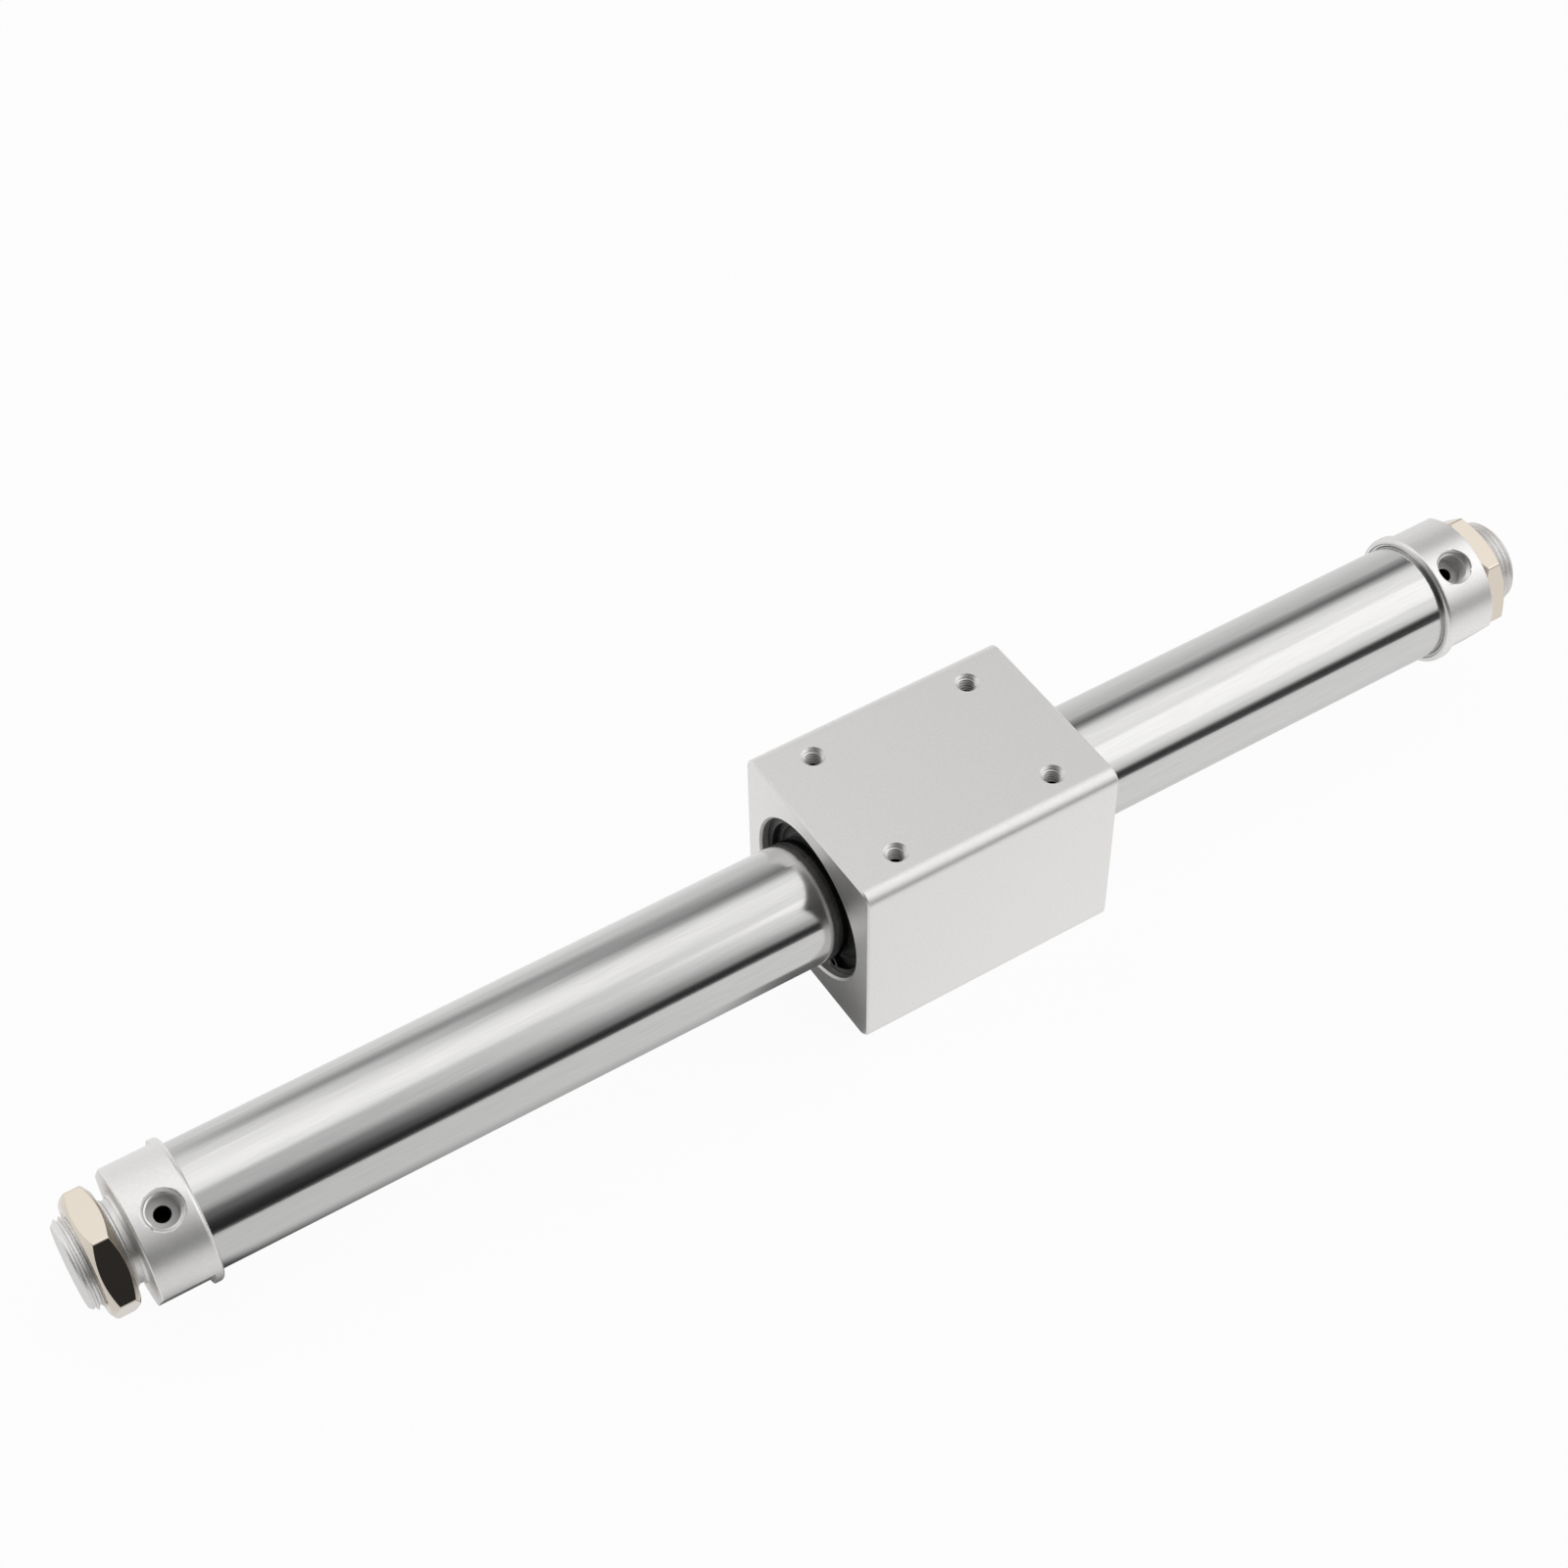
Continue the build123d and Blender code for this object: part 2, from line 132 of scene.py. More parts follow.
# Threads in the ports (G 1/8) and the bolt holes (M6)
PORT_PITCH = 0.907
PORT_CREST = 4.283
BOLT_RADIUS = 3.0
BOLT_CREST = 2.46
BOLT_PITCH = 1.0
BOLT_DEPTH = 7.2
BOLT_MOUTH_CHAMFER = 0.4
BOLT_SPACING = (50.0, 40.0)

# Walls and bottoms of the ports and bolt holes: the bottoms get painted shade, and the port walls are
# made less metallic so that they look lighter, in place of light bounced inside them
PORT_HOLLOW_SPAN = (197.8, 211.3)  # along X
PORT_WALL_REACH = 17.9  # from the tube's axis
PORT_FLOOR_LEEWAY = 0.03
BOLT_HOLLOW_REACH = 4.0
BOLT_BOTTOM_DEPTHS = (9.0, 6.0)
HOLLOW_METALLIC = 0.1
# The colour of the painted shade in the bottoms of the holes
HOLLOW_PAINTED_SHADE = (0.01, 0.01, 0.01, 1)

# Backdrop and room: angles go from straight up over the object towards its front, in degrees
BACKDROP_WHITE = 1.0
BRIGHTEST = 1.3
STUDIO_LEFT = (
    (-90, 0.75), (-50, 1.0), (-25, 1.15), (-4, 1.28), (12, 1.15),
    (22, 0.62), (41, 0.6), (58, 0.15), (76, 0.03), (90, 0.02),
)
STUDIO_RIGHT = (
    (-90, 0.8), (-56, 0.68), (-42, 0.17), (-27, 0.15), (-18, 1.0), (0, 1.15),
    (20, 1.08), (50, 1.03), (64, 1.05), (76, 0.85), (84, 0.06), (90, 0.03),
)
# The room turns from left to right between two places along X, and the second depends on the angle
TURN_START = 0.12
TURN_END = (math.radians(50), math.radians(78), 0.37, 0.52)
# A dark seam between ceiling and back wall at the left, which rises and fades towards the right
SEAM_PLACE = (math.radians(-66), math.radians(-53))
SEAM_RISE = (0.15, 0.3)
SEAM_REACH = math.radians(22)
SEAM_SHADE = 0.4
SEAM_FADES = ((0.42, 0.2), (0.08, 0.15))
# The dim corner at the front left: its ramps along X and forwards, and the share of light left there
CORNER_ALONG = (-0.02, -0.26)
CORNER_FORWARDS = (-0.5, -0.1)
CORNER_LIGHT = 0.1

# Floor, with places in metres: ramps are (from, to) or (from, to, level at from, level at to)
FLOOR_SIZE = 8.0
FLOOR_GAP = 0.0002
FLOOR_COLOUR = 0.9
FLOOR_ROUGHNESS = 0.9
FLOOR_WHITENESS = 0.95  # the rest takes the object's shadow
FLOOR_WHITENESS_IN_METAL = 0.96
# Painted light and shade on the floor as metal sees it: darker towards the left end, and brighter
# behind the object
FLOOR_IN_METAL = (-0.2, 0.12, 0.75, 0.89)
FLOOR_BEHIND = (-0.1, 0.15, 1.15, 0.95)  # how much brighter it is behind the object
FLOOR_BEHIND_START = (0.01, 0.06)
# The painted shadow under the tube, a dim strip that only metal sees
SHADOW_STRIP_LIGHT = ((-0.215, -0.1, 0.02, 0.62), (-0.05, 0.12, 0.0, 0.2))
STRIP_HALF_WIDTH = (-0.21, -0.18, 0.022, 0.008)
STRIP_SOFT_EDGE = 0.026
STRIP_END = (-0.2125, -0.2135)
# The painted shadow at the block's left foot, a dim spot that only metal sees
FOOT_RAMPS = ((-0.05, -0.018), (0.04, 0.02))
FOOT_SIDES = (0.03, 0.026)
FOOT_SHADOW_LIGHT = 0.25
# The far edge in front of the floor's painted light, dark beyond it, and the direction towards it
FRONT_WAY = (0.38, -0.925)
FRONT_EDGE = (0.30, 0.38, 1.0, 0.04)

# Soft box
SOFT_BOX_PLACE = (900, -760, 1050)
SOFT_BOX_TARGET = (60, 0, 0)
SOFT_BOX_SIZE = (0.95, 0.75)  # in metres
SOFT_BOX_BRIGHTNESS = 0.3

# Fineness of round shapes
ROUND = 160
THREAD_ROUND = 96
SMALL_ROUND = 64
ARC_STEPS = 6
ROUND_STEPS = 3
EDGE_STEPS = 2
BARREL_RINGS = 8  # keep a cover's faces short, for even shading round the port
SMOOTH_ANGLE = 30
THREAD_SMOOTH_ANGLE = 40

# Softened edges, and how pieces are made
EDGE = 0.12
COVER_EDGE_ANGLE = 22
NUT_EDGE_ANGLE = 20
BURIED = 0.05  # how deep a thread's root lies in its wall
OVERRUN = 1.0  # how far a cutter reaches past what it cuts
WELD = 0.001  # points closer than this become one
THREAD_WELD = 0.0001
RIM_LEEWAY = 0.02  # how far a point on a port's rim may lie from its circle
RIM_CLEAR_OF_FLOOR = 0.05

FLOAT = "NodeSocketFloat"
COLOUR = "NodeSocketColor"


def deselect():
    if bpy.context.mode != "OBJECT":
        bpy.ops.object.mode_set(mode="OBJECT")
    bpy.ops.object.select_all(action="DESELECT")


def make_active(piece):
    deselect()
    piece.select_set(True)
    bpy.context.view_layer.objects.active = piece


def apply_last_modifier(piece):
    bpy.ops.object.modifier_apply(modifier=piece.modifiers[-1].name)


def place(piece, matrix):
    """Moves a finished mesh, with the object left at the origin."""
    make_active(piece)
    piece.matrix_world = matrix
    bpy.ops.object.transform_apply(location=True, rotation=True, scale=True)


def turned(name, profile, segments=ROUND, closed=False):
    """A solid of revolution about X, drawn out of one circle through (x, radius) points."""
    deselect()
    x, radius = profile[0]
    bpy.ops.mesh.primitive_circle_add(
        vertices=segments, radius=radius * MM, fill_type="NOTHING", rotation=(0, math.pi / 2, 0)
    )
    piece = bpy.context.object
    piece.name = name
    place(piece, Matrix.Translation((x * MM, 0, 0)) @ piece.matrix_world)
    bpy.ops.object.mode_set(mode="EDIT")
    bpy.ops.mesh.select_all(action="SELECT")
    for new_x, new_radius in profile[1:] + profile[:1] * closed:
        bpy.ops.mesh.extrude_region_move(TRANSFORM_OT_translate={"value": ((new_x - x) * MM, 0, 0)})
        grow = new_radius / radius
        if grow != 1:
            bpy.ops.transform.resize(value=(1, grow, grow), center_override=(new_x * MM, 0, 0))
        x, radius = new_x, new_radius
    bpy.ops.mesh.select_all(action="SELECT")
    if closed:
        bpy.ops.mesh.remove_doubles(threshold=WELD * MM)
    else:
        bpy.ops.mesh.fill_holes(sides=0)
    bpy.ops.mesh.normals_make_consistent(inside=False)
    deselect()
    return piece


def combine(piece, tool, operation):
    """Cuts, joins or trims one closed piece with another, which is used up."""
    make_active(piece)
    bpy.ops.object.modifier_add(type="BOOLEAN")
    piece.modifiers[-1].operation = operation
    piece.modifiers[-1].solver = "EXACT"
    piece.modifiers[-1].object = tool
    apply_last_modifier(piece)
    make_active(tool)
    bpy.ops.object.delete()


def soften(piece, width, angle):
    """Breaks each sharp edge with a small round."""
    make_active(piece)
    bpy.ops.object.modifier_add(type="BEVEL")
    bevel = piece.modifiers[-1]
    bevel.width = width * MM
    bevel.segments = EDGE_STEPS
    bevel.limit_method = "ANGLE"
    bevel.angle_limit = math.radians(angle)
    apply_last_modifier(piece)


def smooth(piece, angle=SMOOTH_ANGLE, even=False):
    """Shades a piece smooth up to an angle, and its flat faces evenly where asked."""
    make_active(piece)
    bpy.ops.object.shade_smooth_by_angle(angle=math.radians(angle))
    if even:
        bpy.ops.object.modifier_add(type="WEIGHTED_NORMAL")
        piece.modifiers[-1].keep_sharp = True
        apply_last_modifier(piece)


def arc(centre_x, centre_r, radius, start, end):
    """Points of a round in a turned profile, with angles from +X towards larger radii."""
    points = []
    for step in range(ARC_STEPS + 1):
        angle = math.radians(start + (end - start) * step / ARC_STEPS)
        points.append((centre_x + radius * math.cos(angle), centre_r + radius * math.sin(angle)))
    return points


def mirrored(profile, side):
    return [(x * side, radius) for x, radius in profile]


def thread_ridge(name, start, length, pitch, root, crest, segments=THREAD_ROUND):
    """A right-hand ridge that winds about X, from its root radius to its crest radius."""
    root_width = pitch * THREAD_ROOT_WIDTH
    crest_width = pitch * THREAD_CREST_WIDTH
    height = abs(crest - root)
    deselect()
    bpy.ops.mesh.primitive_plane_add(size=MM, rotation=(math.pi / 2, 0, 0))
    piece = bpy.context.object
    piece.name = name
    bpy.ops.object.transform_apply(rotation=True)
    bpy.ops.object.mode_set(mode="EDIT")
    bpy.ops.mesh.select_all(action="SELECT")
    bpy.ops.transform.resize(value=(root_width, 1, height))
    bpy.ops.mesh.select_all(action="DESELECT")
    mesh = bmesh.from_edit_mesh(piece.data)
    for vertex in mesh.verts:
        vertex.select_set((vertex.co.z > 0) == (crest > root))
    mesh.select_flush(False)
    bpy.ops.transform.resize(value=(crest_width / root_width, 1, 1), center_override=(0, 0, 0))
    bpy.ops.mesh.select_all(action="SELECT")
    bpy.ops.transform.translate(value=((start - pitch) * MM, 0, (root + crest) / 2 * MM))
    bpy.ops.mesh.delete(type="ONLY_FACE")
    bpy.ops.object.mode_set(mode="OBJECT")
    bpy.ops.object.modifier_add(type="SCREW")
    screw = piece.modifiers[-1]
    screw.axis = "X"
    screw.angle = 2 * math.pi
    screw.screw_offset = pitch * MM
    screw.iterations = math.ceil(length / pitch) + 2
    screw.steps = segments
    screw.render_steps = segments
    apply_last_modifier(piece)
    bpy.ops.object.mode_set(mode="EDIT")
    bpy.ops.mesh.select_all(action="SELECT")
    bpy.ops.mesh.remove_doubles(threshold=THREAD_WELD * MM)
    bpy.ops.mesh.select_all(action="SELECT")
    bpy.ops.mesh.fill_holes(sides=0)
    bpy.ops.mesh.select_all(action="SELECT")
    bpy.ops.mesh.normals_make_consistent(inside=False)
    deselect()
    return piece


def new_group(name, inputs, outputs):
    """A shader node group with named sockets, as (tree, its input node, its output node)."""
    tree = bpy.data.node_groups.new(name, "ShaderNodeTree")
    for label, kind, value in inputs:
        socket = tree.interface.new_socket(label, in_out="INPUT", socket_type=kind)
        if value is not None:
            socket.default_value = value
    for label, kind in outputs:
        tree.interface.new_socket(label, in_out="OUTPUT", socket_type=kind)
    return tree, tree.nodes.new("NodeGroupInput"), tree.nodes.new("NodeGroupOutput")


def link(tree, start, end):
    tree.links.new(start, end)


def feed(tree, socket, value):
    """Links a socket to another, or sets its value."""
    if isinstance(value, bpy.types.NodeSocket):
        tree.links.new(value, socket)
    else:
        socket.default_value = value


def add(tree, kind, inputs=(), **settings):
    """A node with its settings, and its inputs set to values or linked to sockets."""
    node = tree.nodes.new(kind)
    for key, value in settings.items():
        setattr(node, key, value)
    for key, value in dict(inputs).items():
        feed(tree, node.inputs[key], value)
    return node


def smooth_step(tree, value, low, high, start=0.0, end=1.0):
    """A soft ramp from start to end while the value goes from low to high."""
    step = add(tree, "ShaderNodeMapRange", {
        "Value": value, "From Min": low, "From Max": high, "To Min": start, "To Max": end,
    }, interpolation_type="SMOOTHSTEP")
    return step.outputs["Result"]


def blend(tree, factor, first, second):
    """The first of two numbers at factor 0 and the second at 1."""
    mix = add(tree, "ShaderNodeMix", {"Factor": factor})
    for socket, value in ((mix.inputs[2], first), (mix.inputs[3], second)):
        feed(tree, socket, value)
    return mix.outputs[0]


def compute(tree, operation, *values):
    """The result of a math node."""
    node = add(tree, "ShaderNodeMath", dict(enumerate(values)), operation=operation)
    return node.outputs[0]


def position(tree):
    """Object coordinates, as sockets named X, Y and Z."""
    place_node = add(tree, "ShaderNodeTexCoord")
    return add(tree, "ShaderNodeSeparateXYZ", {0: place_node.outputs["Object"]}).outputs


def from_axis(tree, spot):
    """The distance from the X axis."""
    squares = [compute(tree, "MULTIPLY", spot[axis], spot[axis]) for axis in ("Y", "Z")]
    return compute(tree, "SQRT", compute(tree, "ADD", *squares))


def stretched_place(tree, along):
    """Object coordinates with X scaled, so that a pattern runs lengthwise where along is small."""
    place_node = add(tree, "ShaderNodeTexCoord")
    stretch = add(tree, "ShaderNodeCombineXYZ", {"X": along, "Y": 1.0, "Z": 1.0})
    spot = add(
        tree, "ShaderNodeVectorMath", {0: place_node.outputs["Object"], 1: stretch.outputs[0]},
        operation="MULTIPLY",
    )
    return spot.outputs[0]


def give_pattern(tree, source, result, pattern):
    """Gives a group a pattern's relief, and a value that the pattern swings about its base."""
    swing = compute(tree, "MULTIPLY", compute(tree, "SUBTRACT", pattern, 0.5), source.outputs["Amount"])
    link(tree, compute(tree, "ADD", swing, source.outputs["Base"]), result.inputs["Value"])
    link(tree, pattern, result.inputs["Height"])


def make_grain_group():
    """Fine even grain, as of blasted and anodised metal or moulded rubber."""
    tree, source, result = new_group(
        "fine_grain",
        [("Scale", FLOAT, 3000.0), ("Amount", FLOAT, 0.1), ("Base", FLOAT, 0.4), ("Along", FLOAT, 1.0)],
        [("Value", FLOAT), ("Height", FLOAT)],
    )
    noise = add(tree, "ShaderNodeTexNoise", {
        "Vector": stretched_place(tree, source.outputs["Along"]), "Scale": source.outputs["Scale"],
        "Detail": 3.0, "Roughness": 0.6,
    })
    give_pattern(tree, source, result, noise.outputs["Fac"])
    return tree


def make_turning_group():
    """Rings left by a lathe: they follow the distance along X and from the X axis."""
    tree, source, result = new_group(
        "turning_rings",
        [("Rings", FLOAT, 4000.0), ("Amount", FLOAT, 0.1), ("Base", FLOAT, 0.3)],
        [("Value", FLOAT), ("Height", FLOAT)],
    )
    spot = position(tree)
    noise = add(tree, "ShaderNodeTexNoise", {
        "W": compute(tree, "ADD", spot["X"], from_axis(tree, spot)), "Scale": source.outputs["Rings"],
        "Detail": 4.0,
    }, noise_dimensions="1D")
    give_pattern(tree, source, result, noise.outputs["Fac"])
    return tree


def mix_colours(tree, factor, first, second):
    """The first of two colours at factor 0 and the second at 1."""
    mix = add(tree, "ShaderNodeMix", {"Factor": factor}, data_type="RGBA")
    for socket, value in ((mix.inputs[6], first), (mix.inputs[7], second)):
        feed(tree, socket, value)
    return mix.outputs[2]


def make_tint_group():
    """Change of a colour over a surface, between two shades, slow or as fine as grain."""
    tree, source, result = new_group(
        "slow_tint",
        [("Light", COLOUR, (0.8, 0.8, 0.8, 1)), ("Dark", COLOUR, (0.7, 0.7, 0.7, 1)),
         ("Scale", FLOAT, 60.0), ("Along", FLOAT, 1.0)],
        [("Color", COLOUR)],
    )
    noise = add(tree, "ShaderNodeTexNoise", {
        "Vector": stretched_place(tree, source.outputs["Along"]), "Scale": source.outputs["Scale"],
        "Detail": 2.0,
    })
    colour = mix_colours(tree, noise.outputs["Fac"], source.outputs["Dark"], source.outputs["Light"])
    link(tree, colour, result.inputs["Color"])
    return tree


def between(tree, value, low, high):
    """1 where a value lies between two sizes in millimetres, else 0."""
    return compute(tree, "COMPARE", value, (low + high) / 2 * MM, (high - low) / 2 * MM)


def make_port_group():
    """Where a cover is hollow: the port's wall, and the deep part with the air way behind it, which
    gets painted shade.
    """
    tree, _, result = new_group("port_hollow", [], [("Wall", FLOAT), ("Deep", FLOAT)])
    spot = position(tree)
    radius = from_axis(tree, spot)
    inside = between(tree, compute(tree, "ABSOLUTE", spot["X"]), *PORT_HOLLOW_SPAN)
    floor = COVER_RADIUS - PORT_DEPTH - PORT_FLOOR_LEEWAY
    for name, reach in (("Wall", PORT_WALL_REACH), ("Deep", floor)):
        mask = compute(tree, "MULTIPLY", inside, between(tree, radius, 0, reach))
        link(tree, mask, result.inputs[name])
    return tree


def make_bolt_hole_group():
    """The bottom of the block's bolt holes, where shade is painted."""
    tree, _, result = new_group("bolt_hollow", [], [("Deep", FLOAT)])
    spot = position(tree)
    low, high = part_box("carriage_body")
    from_middle = compute(tree, "SUBTRACT", spot["X"], (low.x + high.x) / 2)
    inside = 1.0
    for value, spacing in zip((from_middle, spot["Y"]), BOLT_SPACING):
        edges = (spacing / 2 - BOLT_HOLLOW_REACH, spacing / 2 + BOLT_HOLLOW_REACH)
        near = between(tree, compute(tree, "ABSOLUTE", value), *edges)
        inside = compute(tree, "MULTIPLY", inside, near)
    levels = [high.z / MM - depth for depth in BOLT_BOTTOM_DEPTHS]
    bottom = between(tree, compute(tree, "ABSOLUTE", spot["Z"]), *levels)
    link(tree, compute(tree, "MULTIPLY", inside, bottom), result.inputs["Deep"])
    return tree


GRAIN = make_grain_group()
TURNING = make_turning_group()
TINT = make_tint_group()
PORT_HOLLOW = make_port_group()
BOLT_HOLLOW = make_bolt_hole_group()
FINISHES = {}


def finish(
    name, light, dark, roughness, spread, pattern, fineness, relief,
    metallic=1.0, tint_scale=60.0, along=1.0, **sockets
):
    """A material with a colour between two shades, and a fine pattern in its roughness and relief."""
    material = bpy.data.materials.new(name)
    material.use_nodes = True
    tree = material.node_tree
    shader = tree.nodes["Principled BSDF"]
    shader.inputs["Metallic"].default_value = metallic
    for socket, value in sockets.items():
        shader.inputs[socket.replace("_", " ")].default_value = value
    tint = add(tree, "ShaderNodeGroup", node_tree=TINT)
    tint.inputs["Light"].default_value = (*light, 1)
    tint.inputs["Dark"].default_value = (*dark, 1)
    tint.inputs["Scale"].default_value = tint_scale
    tint.inputs["Along"].default_value = along
    link(tree, tint.outputs["Color"], shader.inputs["Base Color"])
    fine = add(tree, "ShaderNodeGroup", node_tree=pattern)
    fine.inputs[0].default_value = fineness
    fine.inputs["Amount"].default_value = spread
    fine.inputs["Base"].default_value = roughness
    if pattern == GRAIN:
        fine.inputs["Along"].default_value = along
    link(tree, fine.outputs["Value"], shader.inputs["Roughness"])
    bump = add(tree, "ShaderNodeBump", {
        "Height": fine.outputs["Height"], "Strength": 1.0, "Distance": relief * MM,
    })
    link(tree, bump.outputs["Normal"], shader.inputs["Normal"])
    FINISHES[name] = material


def shade_hollows(material, mask):
    """Paints shade into the bottoms of a material's holes and, where the mask has walls, makes these
    less metallic and so whiter, in place of light bounced inside.
    """
    tree = material.node_tree
    shader = tree.nodes["Principled BSDF"]
    hollow = add(tree, "ShaderNodeGroup", node_tree=mask)
    if "Wall" in hollow.outputs:
        metallic = add(tree, "ShaderNodeMapRange", {
            "Value": hollow.outputs["Wall"], "To Min": 1.0, "To Max": HOLLOW_METALLIC,
        })
        link(tree, metallic.outputs["Result"], shader.inputs["Metallic"])
    colour = shader.inputs["Base Color"].links[0].from_socket
    # Painted shade: the bottoms of the holes turn near black
    shaded = mix_colours(tree, hollow.outputs["Deep"], colour, HOLLOW_PAINTED_SHADE)
    link(tree, shaded, shader.inputs["Base Color"])


finish(
    "block_aluminium", (0.98, 0.97, 0.955), (0.87, 0.86, 0.845), 0.48, 0.12, GRAIN, 1500, 0.014,
    tint_scale=1300.0,
)
finish(
    "cover_aluminium", (0.98, 0.97, 0.96), (0.86, 0.85, 0.84), 0.42, 0.12, GRAIN, 1500, 0.012,
    tint_scale=1300.0,
)
finish(
    "drawn_stainless", (0.71, 0.705, 0.70), (0.62, 0.615, 0.61), 0.13, 0.1, GRAIN, 900, 0.0008,
    tint_scale=1500.0, along=0.06,
)
finish(
    "nut_passivated_steel", (0.77, 0.695, 0.60), (0.75, 0.675, 0.58), 0.11, 0.03, GRAIN, 1800, 0.0004
)
finish(
    "dark_ring_aluminium", (0.035, 0.035, 0.037), (0.025, 0.025, 0.027), 0.42, 0.1,
    TURNING, 6000, 0.002, metallic=0.3,
)
finish("ring_steel", (0.74, 0.74, 0.74), (0.70, 0.70, 0.70), 0.30, 0.06, TURNING, 6000, 0.001)
finish(
    "black_steel", (0.035, 0.034, 0.033), (0.02, 0.02, 0.02), 0.38, 0.1, GRAIN, 3000, 0.003,
    metallic=0.4,
)
finish(
    "black_rubber", (0.022, 0.022, 0.022), (0.016, 0.016, 0.016), 0.55, 0.1, GRAIN, 2500, 0.004,
    metallic=0.0,
)
finish("piston_aluminium", (0.74, 0.71, 0.60), (0.70, 0.67, 0.56), 0.32, 0.1, TURNING, 7000, 0.002)
finish("yoke_steel", (0.62, 0.63, 0.64), (0.55, 0.56, 0.58), 0.35, 0.12, TURNING, 5000, 0.002)
finish("bright_steel", (0.70, 0.70, 0.70), (0.66, 0.66, 0.66), 0.22, 0.08, TURNING, 6000, 0.001)
finish("magnet_nickel", (0.68, 0.66, 0.61), (0.64, 0.62, 0.57), 0.24, 0.1, GRAIN, 1500, 0.003)
finish(
    "urethane", (0.42, 0.22, 0.07), (0.36, 0.18, 0.055), 0.42, 0.1, GRAIN, 1500, 0.003,
    metallic=0.0,
)
finish(
    "wear_resin", (0.07, 0.07, 0.075), (0.05, 0.05, 0.055), 0.5, 0.1, GRAIN, 4000, 0.004,
    metallic=0.0,
)
finish(
    "oiled_felt", (0.62, 0.57, 0.44), (0.46, 0.42, 0.31), 0.85, 0.15, GRAIN, 2200, 0.05,
    metallic=0.0, tint_scale=900.0, Sheen_Weight=0.3,
)
# Painted shade in the hollows of the covers and of the block
shade_hollows(FINISHES["cover_aluminium"], PORT_HOLLOW)
shade_hollows(FINISHES["block_aluminium"], BOLT_HOLLOW)

for row in frame["record"]["subparts"]:
    for material_slot in nodes[row["node"]].material_slots:
        material_slot.material = FINISHES[row["material_slot"]]


def dress(piece, body, slot, *replaced):
    """Gives a new piece its finish, its body and its material slot."""
    piece.data.materials.clear()
    piece.data.materials.append(FINISHES[slot])
    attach(piece, body)
    if replaced:
        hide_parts(*replaced)


def port_matrix(side):
    """Turns a piece made along X so that it stands on a port's axis."""
    port_x = side * (cover_end - PORT_SETBACK)
    lean = Matrix.Rotation(math.radians(PORT_TILT), 4, "X")
    return Matrix.Translation((port_x * MM, 0, 0)) @ lean @ Matrix.Rotation(-math.pi / 2, 4, "Y")


spigot_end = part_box("end_cover_right")[0].x / MM
nose_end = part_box("end_cover_right")[1].x / MM
cover_end = nose_end - NOSE_LENGTH
cover_face = cover_end - COVER_LENGTH
relief_end = cover_end + COLLAR_LENGTH + RELIEF_WIDTH


def cover_profile():
    """The turned outline of a cover, from the spigot's free end to the nose's end."""
    groove = spigot_end + GROOVE_SETBACK
    slope = NOSE_CORE - RELIEF_RADIUS
    barrel_start = cover_face + COVER_FACE_ROUND
    barrel_step = (cover_end - COVER_END_CHAMFER - barrel_start) / BARREL_RINGS
    return [
        (spigot_end, SPIGOT_RADIUS - SPIGOT_CHAMFER), (spigot_end + SPIGOT_CHAMFER, SPIGOT_RADIUS),
        (groove, SPIGOT_RADIUS), (groove, GROOVE_FLOOR),
        (groove + GROOVE_WIDTH, GROOVE_FLOOR), (groove + GROOVE_WIDTH, SPIGOT_RADIUS),
        (cover_face + SOCKET_DEPTH, SPIGOT_RADIUS), (cover_face + SOCKET_DEPTH, SOCKET_RADIUS),
        (cover_face + RING_SEAT, SOCKET_RADIUS), (cover_face + RING_SEAT, MOUTH_RADIUS),
        (cover_face, MOUTH_RADIUS),
        *arc(barrel_start, COVER_RADIUS - COVER_FACE_ROUND, COVER_FACE_ROUND, 180, 90),
        *((barrel_start + ring * barrel_step, COVER_RADIUS) for ring in range(1, BARREL_RINGS)),
        (cover_end - COVER_END_CHAMFER, COVER_RADIUS),
        (cover_end, COVER_RADIUS - COVER_END_CHAMFER),
        (cover_end, COLLAR_RADIUS), (cover_end + COLLAR_LENGTH, COLLAR_RADIUS),
        (cover_end + COLLAR_LENGTH, RELIEF_RADIUS), (relief_end, RELIEF_RADIUS),
        (relief_end + slope, NOSE_CORE),
        (nose_end - NOSE_CHAMFER + NOSE_CREST - NOSE_CORE, NOSE_CORE),
        (nose_end, NOSE_CREST - NOSE_CHAMFER),
    ]


def cut_flats(cover, side):
    """Mills the two spanner flats, from the collar to the cover's outer end."""
    length = COVER_LENGTH - FLATS_COLLAR + OVERRUN
    depth = COVER_RADIUS + OVERRUN - COVER_FLATS / 2
    lean = Matrix.Rotation(math.radians(FLATS_TILT), 4, "X")
    for hand in (1, -1):
        deselect()
        bpy.ops.mesh.primitive_cube_add(size=MM)
        slab = bpy.context.object
        slab.name = "flat_cutter"
        middle = Vector((
            side * (cover_face + FLATS_COLLAR + length / 2), hand * (COVER_FLATS + depth) / 2, 0,
        )) * MM
        size = Matrix.Diagonal((length, depth, 3 * COVER_RADIUS, 1))
        place(slab, lean @ Matrix.Translation(middle) @ size)
        combine(cover, slab, "DIFFERENCE")


